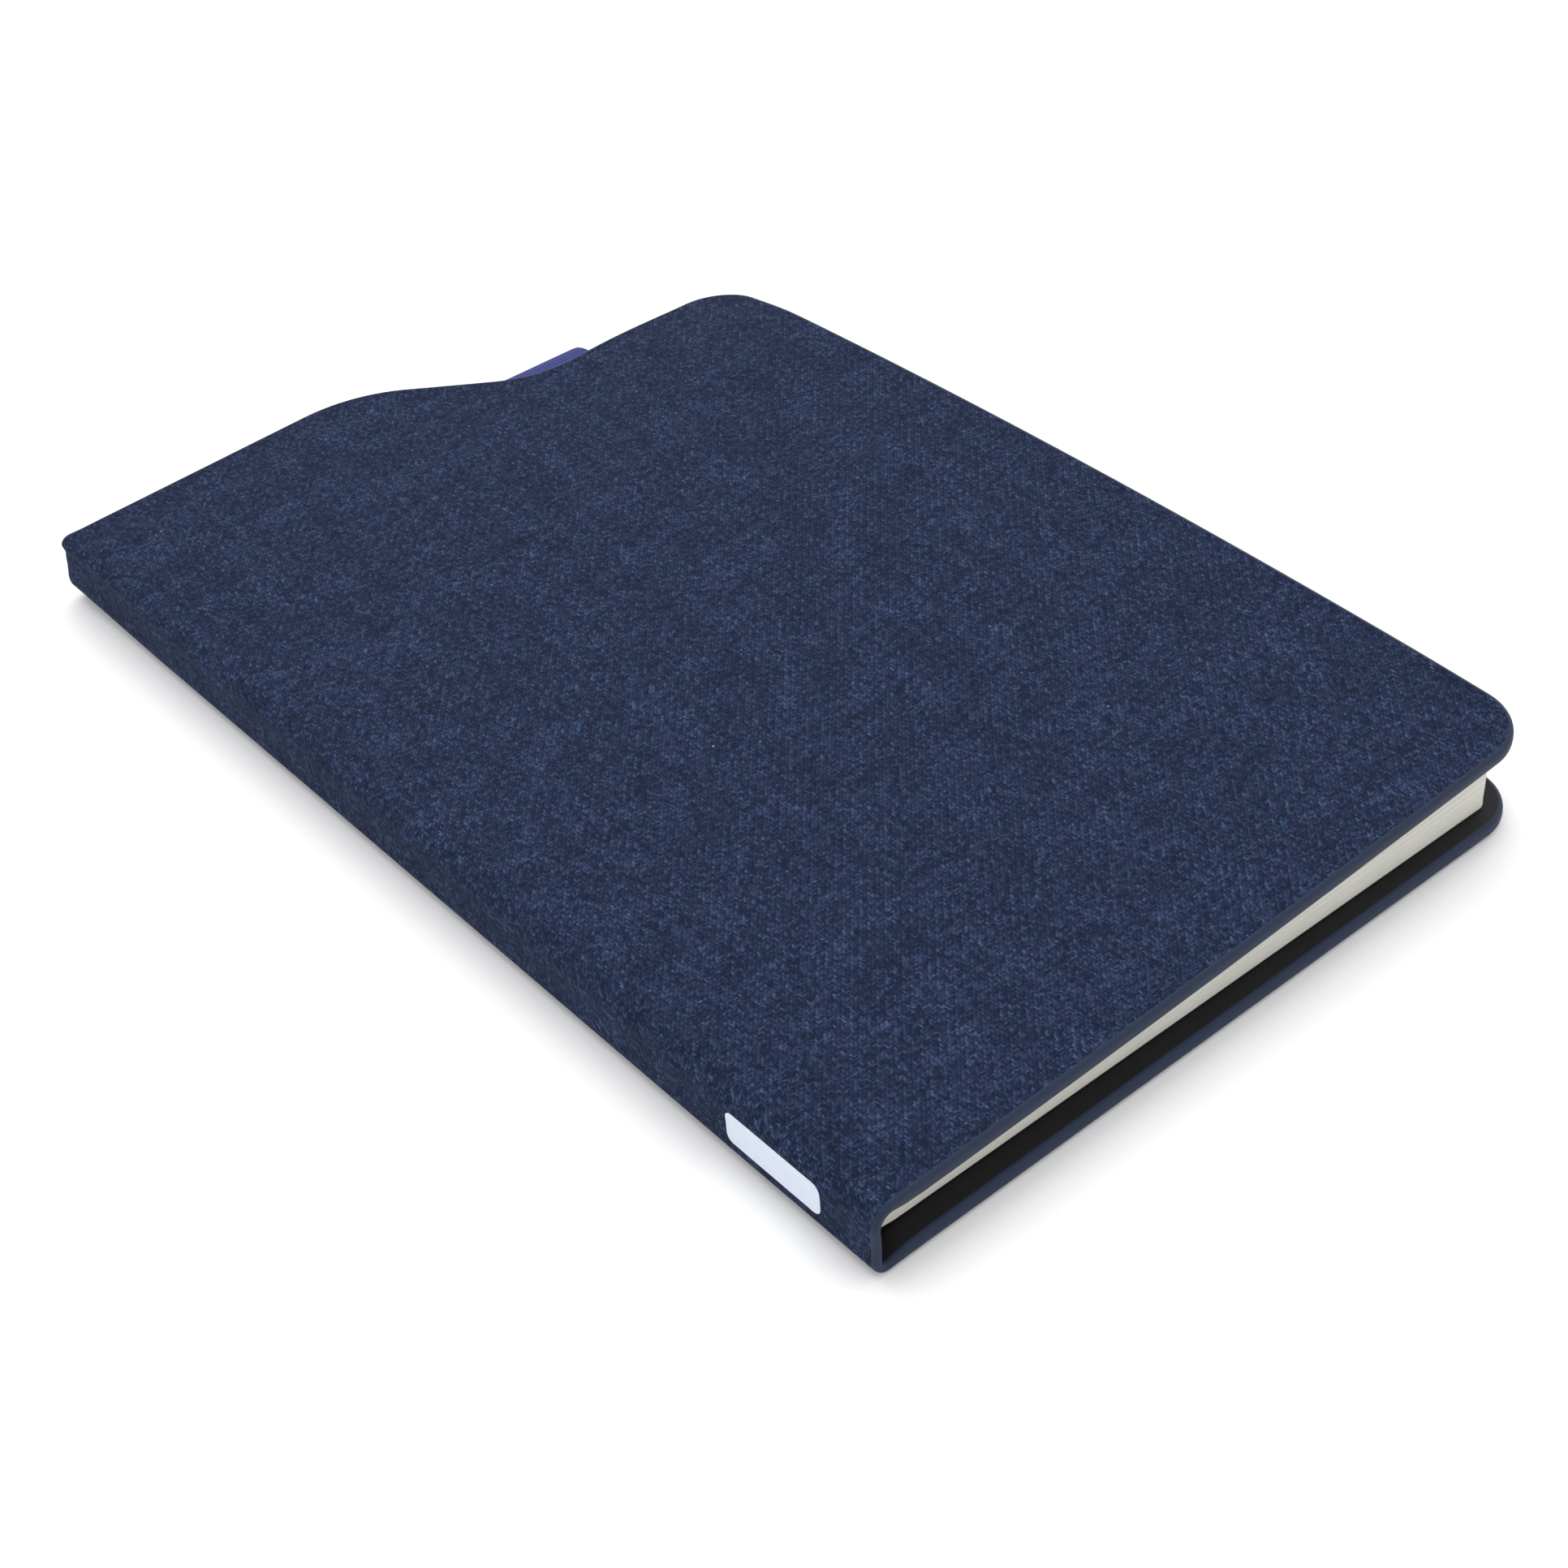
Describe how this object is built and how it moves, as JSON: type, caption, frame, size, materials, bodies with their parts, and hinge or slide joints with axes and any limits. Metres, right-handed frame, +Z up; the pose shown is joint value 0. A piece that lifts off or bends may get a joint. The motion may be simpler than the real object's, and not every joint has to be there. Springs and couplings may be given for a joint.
{
  "type": "pilot logbook",
  "caption": "Cloth-bound hard-cover logbook with a stepped, wave-shaped head edge, sewn ruled pages and a flat elastic pen loop held in the step.",
  "frame": {"origin": "under the middle of the closed book, on the surface that it lies on", "axes": "+X from the spine to the fore-edge, +Y from the tail to the head (the wave is in the head edge), +Z up through the front cover"},
  "size_m": [0.13, 0.21, 0.0159],
  "materials": {
    "cloth": "matte woven",
    "edge_seal": "satin",
    "board": "raw",
    "black_lining": "matte",
    "label": "satin",
    "page_paper": "matte",
    "thread": "matte",
    "gauze": "open weave",
    "elastic": "ribbed elastic"
  },
  "bodies": {
    "back_cover": {"back_cloth": "cloth", "back_board": "board", "back_edge_seal": "edge_seal", "back_pastedown": "black_lining", "pen_loop": "elastic", "mull": "gauze", "sewing_thread": "thread"},
    "spine": {"spine_cloth": "cloth", "spine_board": "board", "spine_lining": "black_lining", "spine_label": "label", "front_joint_cloth": "cloth", "front_joint_lining": "black_lining", "back_joint_cloth": "cloth", "back_joint_lining": "black_lining"},
    "front_cover": {"front_cloth": "cloth", "front_board": "board", "front_edge_seal": "edge_seal", "front_pastedown": "black_lining"},
    "front_flyleaf": {"front_flyleaf": "black_lining"},
    "back_flyleaf": {"back_flyleaf": "black_lining"},
    "leaves_01": {"leaves_01": "page_paper"},
    "leaves_02": {"leaves_02": "page_paper"},
    "leaves_03": {"leaves_03": "page_paper"},
    "leaves_04": {"leaves_04": "page_paper"},
    "leaves_05": {"leaves_05": "page_paper"},
    "leaves_06": {"leaves_06": "page_paper"},
    "leaves_07": {"leaves_07": "page_paper"},
    "leaves_08": {"leaves_08": "page_paper"},
    "leaves_09": {"leaves_09": "page_paper"},
    "leaves_10": {"leaves_10": "page_paper"}
  },
  "joints": [
    {"name": "back_hinge", "type": "hinge", "parent": "back_cover", "child": "spine", "pos_m": [-0.0626, 0, 0.0024], "axis": [0, -1, 0], "range_deg": [0, 90], "deforming": ["back_joint_cloth", "back_joint_lining"]},
    {"name": "front_hinge", "type": "hinge", "parent": "spine", "child": "front_cover", "pos_m": [-0.0626, 0, 0.0096], "axis": [0, -1, 0], "range_deg": [0, 90], "deforming": ["front_joint_cloth", "front_joint_lining"]},
    {"name": "front_flyleaf_turn", "type": "hinge", "parent": "back_cover", "child": "front_flyleaf", "pos_m": [-0.062, 0, 0.006], "axis": [0, -1, 0], "range_deg": [0, 180]},
    {"name": "leaves_01_turn", "type": "hinge", "parent": "back_cover", "child": "leaves_01", "pos_m": [-0.062, 0, 0.006], "axis": [0, -1, 0], "range_deg": [0, 180]},
    {"name": "leaves_02_turn", "type": "hinge", "parent": "back_cover", "child": "leaves_02", "pos_m": [-0.062, 0, 0.006], "axis": [0, -1, 0], "range_deg": [0, 180]},
    {"name": "leaves_03_turn", "type": "hinge", "parent": "back_cover", "child": "leaves_03", "pos_m": [-0.062, 0, 0.006], "axis": [0, -1, 0], "range_deg": [0, 180]},
    {"name": "leaves_04_turn", "type": "hinge", "parent": "back_cover", "child": "leaves_04", "pos_m": [-0.062, 0, 0.006], "axis": [0, -1, 0], "range_deg": [0, 180]},
    {"name": "leaves_05_turn", "type": "hinge", "parent": "back_cover", "child": "leaves_05", "pos_m": [-0.062, 0, 0.006], "axis": [0, -1, 0], "range_deg": [0, 180], "deforming": ["mull", "sewing_thread"]},
    {"name": "leaves_06_turn", "type": "hinge", "parent": "back_cover", "child": "leaves_06", "pos_m": [-0.062, 0, 0.006], "axis": [0, -1, 0], "range_deg": [0, 10]},
    {"name": "leaves_07_turn", "type": "hinge", "parent": "back_cover", "child": "leaves_07", "pos_m": [-0.062, 0, 0.006], "axis": [0, -1, 0], "range_deg": [0, 10]},
    {"name": "leaves_08_turn", "type": "hinge", "parent": "back_cover", "child": "leaves_08", "pos_m": [-0.062, 0, 0.006], "axis": [0, -1, 0], "range_deg": [0, 10]},
    {"name": "leaves_09_turn", "type": "hinge", "parent": "back_cover", "child": "leaves_09", "pos_m": [-0.062, 0, 0.006], "axis": [0, -1, 0], "range_deg": [0, 10]},
    {"name": "leaves_10_turn", "type": "hinge", "parent": "back_cover", "child": "leaves_10", "pos_m": [-0.062, 0, 0.006], "axis": [0, -1, 0], "range_deg": [0, 10]},
    {"name": "back_flyleaf_turn", "type": "hinge", "parent": "back_cover", "child": "back_flyleaf", "pos_m": [-0.062, 0, 0.006], "axis": [0, -1, 0], "range_deg": [0, 10]}
  ],
  "couplings": [
    {"joint": "front_hinge", "follows": "back_hinge", "ratio": 0.963},
    {"joint": "front_flyleaf_turn", "follows": "back_hinge", "ratio": 1.962},
    {"joint": "leaves_01_turn", "follows": "back_hinge", "ratio": 1.957},
    {"joint": "leaves_02_turn", "follows": "back_hinge", "ratio": 1.95},
    {"joint": "leaves_03_turn", "follows": "back_hinge", "ratio": 1.94},
    {"joint": "leaves_04_turn", "follows": "back_hinge", "ratio": 1.927},
    {"joint": "leaves_05_turn", "follows": "back_hinge", "ratio": 1.91},
    {"joint": "leaves_06_turn", "follows": "back_hinge", "ratio": 0.056},
    {"joint": "leaves_07_turn", "follows": "back_hinge", "ratio": 0.042},
    {"joint": "leaves_08_turn", "follows": "back_hinge", "ratio": 0.03},
    {"joint": "leaves_09_turn", "follows": "back_hinge", "ratio": 0.02},
    {"joint": "leaves_10_turn", "follows": "back_hinge", "ratio": 0.012},
    {"joint": "back_flyleaf_turn", "follows": "back_hinge", "ratio": 0.005}
  ]
}
